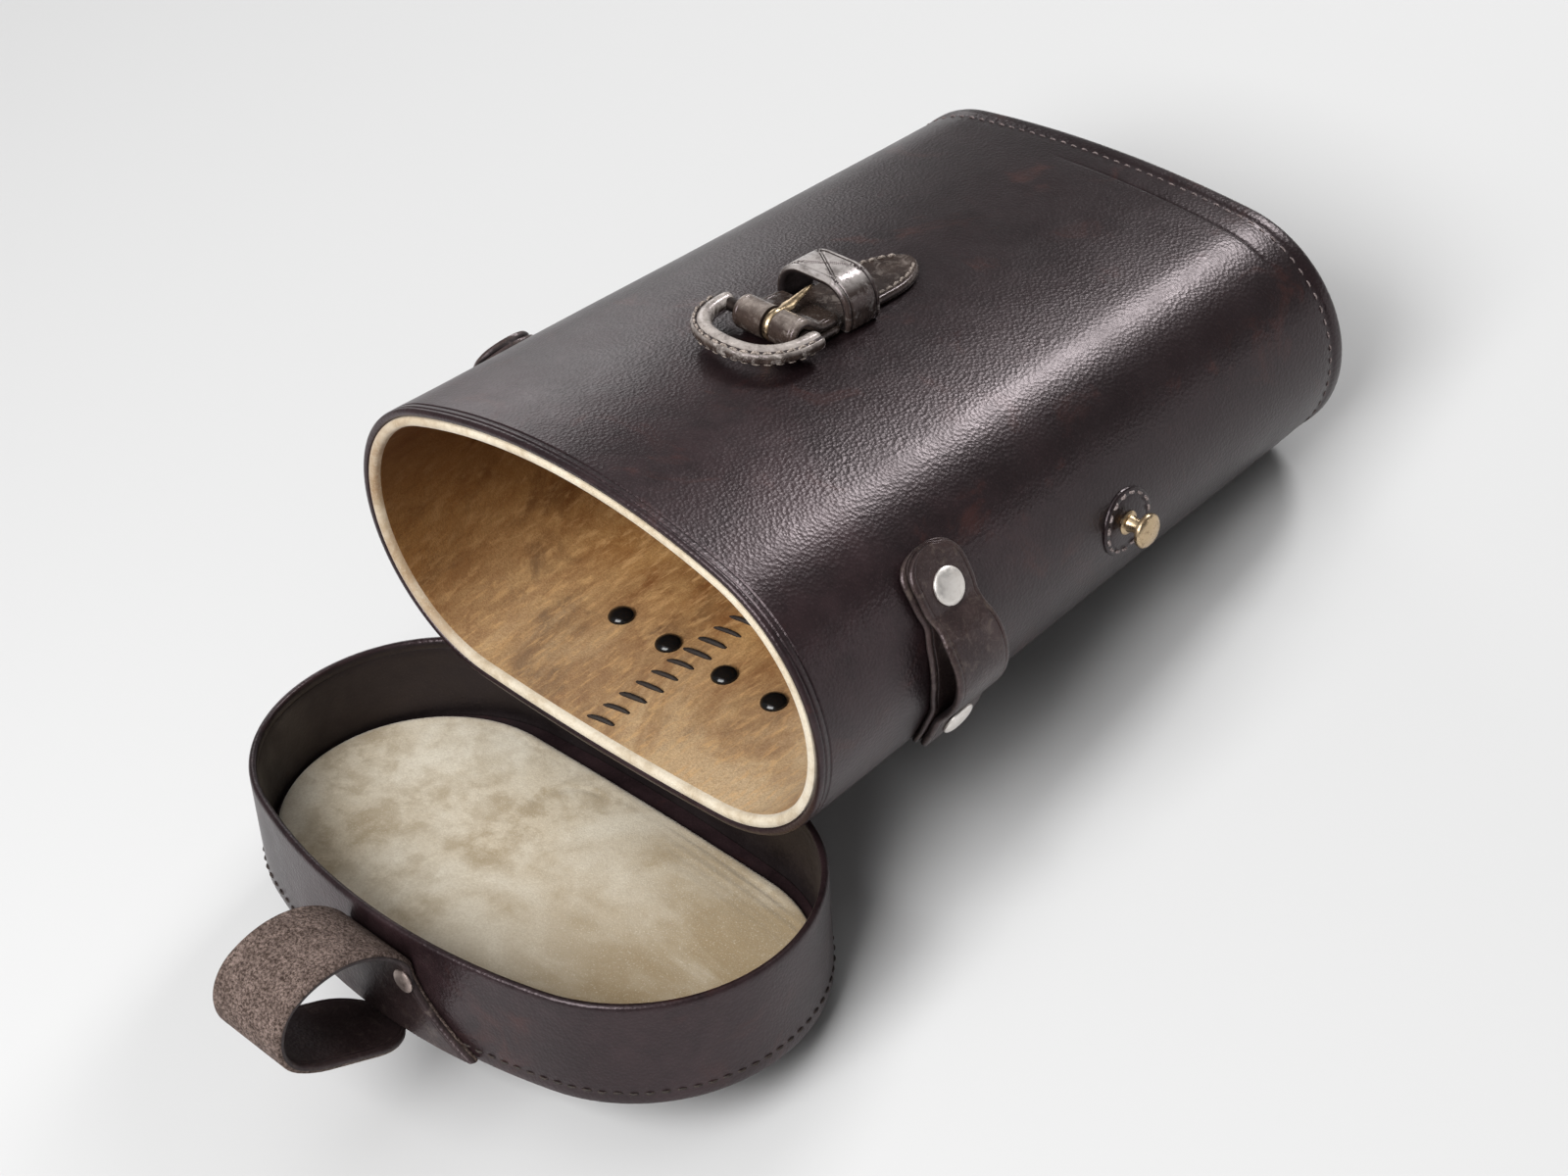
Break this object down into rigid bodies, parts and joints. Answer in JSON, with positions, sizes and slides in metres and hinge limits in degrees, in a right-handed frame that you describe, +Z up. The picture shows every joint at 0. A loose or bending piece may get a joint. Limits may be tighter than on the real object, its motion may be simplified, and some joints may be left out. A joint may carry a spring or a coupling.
{
  "type": "binocular case",
  "caption": "Tapered oval leather binocular case lying open on its back, with a hinged lid, closing strap, buckle with keeper, side loops and studs.",
  "frame": {"origin": "middle of the underside of the bounding box, case lying open", "axes": "+Y from the open lid towards the case's base, +Z up, +X to the case's right seen from the mouth"},
  "size_m": [0.1692, 0.3102, 0.1185],
  "materials": {
    "shell_leather": "dark brown waxed smooth leather",
    "trim_leather": "dark brown strap leather, burnished edges",
    "lining_suede": "tan brushed suede",
    "pad_suede": "cream brushed suede",
    "brass": "aged satin",
    "nickel": "satin nickel",
    "black_rivet": "gloss black"
  },
  "bodies": {
    "case": {"body_shell": "shell_leather", "body_lining": "lining_suede", "base_plate": "shell_leather", "base_lining": "lining_suede", "hinge_flap": "trim_leather", "hinge_rivets": "black_rivet", "buckle_tab": "trim_leather", "keeper_loop": "trim_leather", "loop_backing_right": "trim_leather", "loop_backing_left": "trim_leather", "strap_loop_right": "trim_leather", "strap_loop_left": "trim_leather", "loop_rivets_right": "nickel", "loop_rivets_left": "nickel", "stud_patch_right": "trim_leather", "stud_patch_left": "trim_leather", "stud_right": "brass", "stud_left": "brass"},
    "lid": {"lid_wall": "shell_leather", "lid_plate": "shell_leather", "lid_pad": "pad_suede", "strap_root": "trim_leather", "strap_rivets": "nickel"},
    "strap": {"strap_tail": "trim_leather"},
    "frame": {"buckle_wire": "brass", "buckle_cover": "trim_leather"},
    "prong": {"buckle_prong": "brass"}
  },
  "joints": [
    {"name": "lid_hinge", "type": "hinge", "parent": "case", "child": "lid", "pos_m": [0, -0.02844, 0.02971], "axis": [1, 0, 0], "range_deg": [-87, 50]},
    {"name": "strap_flex", "type": "hinge", "parent": "lid", "child": "strap", "pos_m": [0.003, -0.12276, 0.05402], "axis": [1, 0, 0], "range_deg": [-55, 0]},
    {"name": "frame_hinge", "type": "hinge", "parent": "case", "child": "frame", "pos_m": [0.0016, 0.03727, 0.10343], "axis": [1, 0, 0], "range_deg": [-78, 0]},
    {"name": "prong_hinge", "type": "hinge", "parent": "case", "child": "prong", "pos_m": [0.0024, 0.03727, 0.10343], "axis": [1, 0, 0], "range_deg": [0, 62]}
  ]
}
